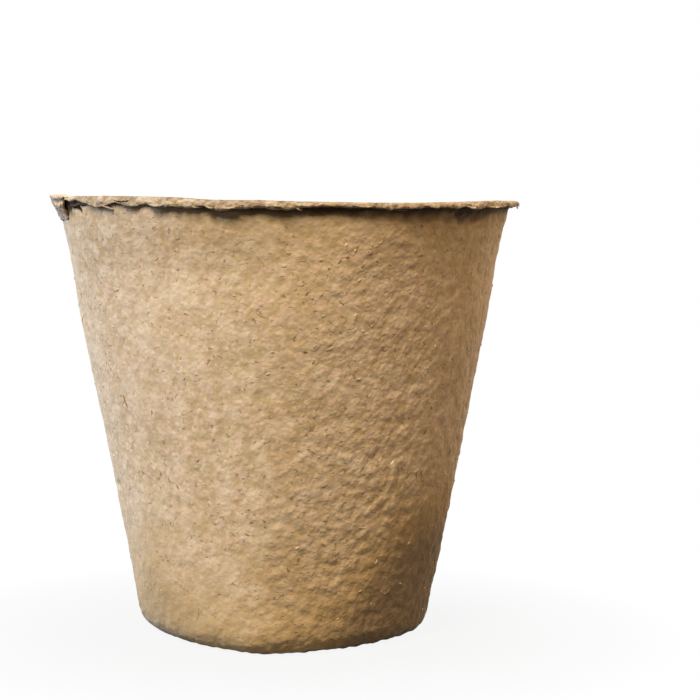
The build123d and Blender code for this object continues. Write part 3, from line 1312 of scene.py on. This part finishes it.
straws = lay_seen(straw_draw, seen_straw, curl=0.05, shades=(0.5, 1), flatness=0.2, highest=0.11 * mm)
straws += strew(
    straw_draw, strewn_straw, widths=(0.15, 0.35), curl=0.2, shades=(0, 0.8), flatness=1, highest=0.1 * mm
)
for count, low, high, from_azimuth, to_azimuth, inside, shortest, longest in strewn_fibres:
    for _ in range(count):
        spot, way = strewn_spot(straw_draw, low, high, from_azimuth, to_azimuth, inside)
        length = straw_draw.uniform(shortest, longest) * mm
        curl = straw_draw.uniform(-0.5, 0.5)
        shade = straw_draw.uniform(-0.4, 0.6)
        straws.append(lay_strand(spot, way, length, fibre_width, fibre_width, curl, shade))
bpy.data.objects.remove(strand_model)
straw = strand_material("straw", straw_dark, straw_light, 0.7)
dress(joined(straws, "straw_and_fibres"), straw, None)


# Lip flakes
# Scraps of the sheet that the tear left hanging from the lip's edge: thin curled leaves, stuck at their upper
# side, at the places that the photograph shows and here and there round the rest of the rim.
flake_long = 6
flake_wide = 3
flake_thickness = 0.2 * mm
flake_ends = 0.06
flake_taper = 0.6
flake_jag = 0.35
flake_lap = 0.35
flake_lift = 0.06
# Each one: the pixels of its two ends, its width in pixels, and how far its free side stands off.
seen_flakes = (
    ((113, 199), (129, 200), 2.5, 0.2),
    ((101, 204), (114, 209), 2.5, 0.25),
    ((190, 205), (203, 207), 3, 0.2),
    ((222, 208), (236, 207), 2.5, 0.2),
    ((206, 206), (213, 208), 2, 0.2),
    ((272, 205), (281, 206), 2, 0.2),
    ((297, 208), (303, 210), 2.5, 0.25),
    ((382, 207), (407, 210), 2.5, 0.25),
    ((352, 205), (374, 207), 2, 0.2),
    ((429, 205), (440, 206), 3, 0.4),
    ((466, 206), (477, 208), 2.5, 0.2),
    ((490, 207), (503, 206), 2.5, 0.2),
    ((150, 205), (163, 205), 2.5, 0.15),
    ((66, 207), (60, 210), 3, 0.2),
)
strewn_flakes = 46
bpy.ops.object.select_all(action="DESELECT")
bpy.ops.mesh.primitive_grid_add(x_subdivisions=flake_long, y_subdivisions=flake_wide, size=1)
flake_model = bpy.context.object


def lay_flake(begin, finish, width, stand_off):
    """A copy of the flake, laid along the lip's edge between two points, curled off it at its lower side."""
    flake = copy_of(flake_model)
    along = finish - begin
    out = Vector((begin.x + finish.x, begin.y + finish.y, 0)).normalized()
    down = out.cross(along).normalized()
    down *= -1 if down.z > 0 else 1
    for vertex in flake.data.vertices:
        share, fall = vertex.co.x + 0.5, 0.5 - vertex.co.y
        leaf = math.sin(math.pi * (flake_ends + (1 - 2 * flake_ends) * share)) ** flake_taper
        leaf *= 1 + flake_jag * noise.noise(Vector((share * 5, fall * 2, 900 * begin.x)))
        spot = begin + along * share + down * width * (fall - flake_lap) * leaf
        vertex.co = spot + out * (flake_lift + stand_off * fall**2 * leaf) * mm
    thicken(flake, flake_thickness, 0)
    return flake


def lip_spot(azimuth, height):
    """The lip's outer edge at an angle and a height."""
    out = level_way(azimuth)
    return skin.ray_cast(out * 2 * cad_high.x + Vector((0, 0, height)), -out)[0]


flake_draw = random.Random(5)
flakes = []
for first, second, width, stand_off in seen_flakes:
    begin, _, pixel = skin_at_pixel(*first)
    finish, _, _ = skin_at_pixel(*second)
    flakes.append(lay_flake(begin, finish, width * pixel, stand_off))
for _ in range(strewn_flakes):
    azimuth = math.radians(flake_draw.uniform(80, 265))
    turn = math.radians(flake_draw.uniform(1, 3.5))
    top, thickness, _, _ = lip_at(azimuth)
    height = top - thickness * flake_draw.uniform(0.3, 0.9)
    lean = flake_draw.uniform(-0.25, 0.25) * mm
    begin, finish = lip_spot(azimuth, height + lean), lip_spot(azimuth + turn, height - lean)
    flakes.append(lay_flake(begin, finish, flake_draw.uniform(0.4, 0.8) * mm, flake_draw.uniform(0.1, 0.4)))
bpy.data.objects.remove(flake_model)
lip_flakes = joined(flakes, "lip_flakes")
# The flakes are painted darker, as painted shade.
fray_evenly(lip_flakes, 0.5, 0.35)
dress(lip_flakes, lip_pulp, None)


# Floor and light
# White paper under the pot and a white wall behind it, which the camera sees as plain white. The paper
# throws a little light back on the foot and shows a faint shadow. The lamps give the photograph's shading.
floor_tint = 0.2
far_floor_tint = 0.06
shadow_white = 0.9
white = (1, 1, 1)
room_glow = 0.015


def straight_rays(tree):
    """1 for what the eye sees directly, in a glossy surface or through a clear one, and 0 for the rest."""
    path = tree.nodes.new("ShaderNodeLightPath").outputs
    seen = calculate(tree, "ADD", path["Is Camera Ray"], path["Is Glossy Ray"])
    return calculate(tree, "MINIMUM", calculate(tree, "ADD", seen, path["Is Transmission Ray"]), 1)


bpy.ops.mesh.primitive_plane_add(size=8)
floor = bpy.context.object
floor.name = "floor"
paper = bpy.data.materials.new("floor_white")
paper.use_nodes = True
tree = paper.node_tree
tree.nodes.clear()
away = tree.nodes.new("ShaderNodeVectorMath")
away.operation = "LENGTH"
set_inputs(tree, away, {0: tree.nodes.new("ShaderNodeTexCoord").outputs["Object"]})
away = away.outputs["Value"]
bounce = ramp(tree, away, 26 * mm, 60 * mm, floor_tint, far_floor_tint)
shadow = ramp(tree, away, 30 * mm, 70 * mm, shadow_white, 1)
glow = calculate(tree, "MULTIPLY", straight_rays(tree), shadow)
matt = wired(tree, "BsdfDiffuse", {"Color": bounce})
shine = wired(tree, "Emission", {"Color": white})
surface = wired(tree, "MixShader", {0: glow, 1: matt, 2: shine})
set_inputs(tree, tree.nodes.new("ShaderNodeOutputMaterial"), {"Surface": surface})
floor.data.materials.append(paper)
floor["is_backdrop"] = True

world = bpy.data.worlds.new("studio")
bpy.context.scene.world = world
world.use_nodes = True
tree = world.node_tree
set_inputs(tree, tree.nodes["Background"], {"Color": white, "Strength": room_glow})
backdrop = wired(tree, "Background", {"Color": white, "Strength": 1})
room = {0: straight_rays(tree), 1: tree.nodes["Background"].outputs[0], 2: backdrop}
set_inputs(tree, tree.nodes["World Output"], {"Surface": wired(tree, "MixShader", room)})

lamp_aim = Vector((0, 0, 40 * mm))


def soft_lamp(name, azimuth, elevation, distance, size, power, colour):
    """A square soft lamp at an angle from the front to the right, a height angle and a distance."""
    rise = math.radians(elevation)
    away = level_way(math.radians(azimuth)) * math.cos(rise) + Vector((0, 0, math.sin(rise)))
    bpy.ops.object.light_add(type="AREA", location=lamp_aim + away * distance)
    lamp = bpy.context.object
    lamp.name = name
    lamp.data.size = size
    lamp.data.energy = power
    lamp.data.color = colour
    lamp.visible_camera = False
    lamp.rotation_euler = (-away).to_track_quat("-Z", "Y").to_euler()


window_white = (0.62, 0.76, 1)
room_white = (1, 0.88, 0.67)
amber_white = (1, 0.7, 0.4)
# Each lamp: its two angles, how far off and how large in metres, its watts and its colour.
soft_lamp("window", -90, 30, 1, 0.35, 8.4, window_white)
soft_lamp("room", -25, 45, 1, 0.3, 14.2, room_white)
soft_lamp("amber", 60, 38.7, 0.256, 0.12, 0.32, amber_white)
soft_lamp("behind_left", -140, 15, 1, 0.5, 4, window_white)
soft_lamp("behind_right", 150, 18, 1, 0.5, 5, room_white)

bpy.context.scene.view_settings.view_transform = "Standard"

low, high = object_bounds()
{"cad": [list(cad_low), list(cad_high)], "visual": [list(low), list(high)]}
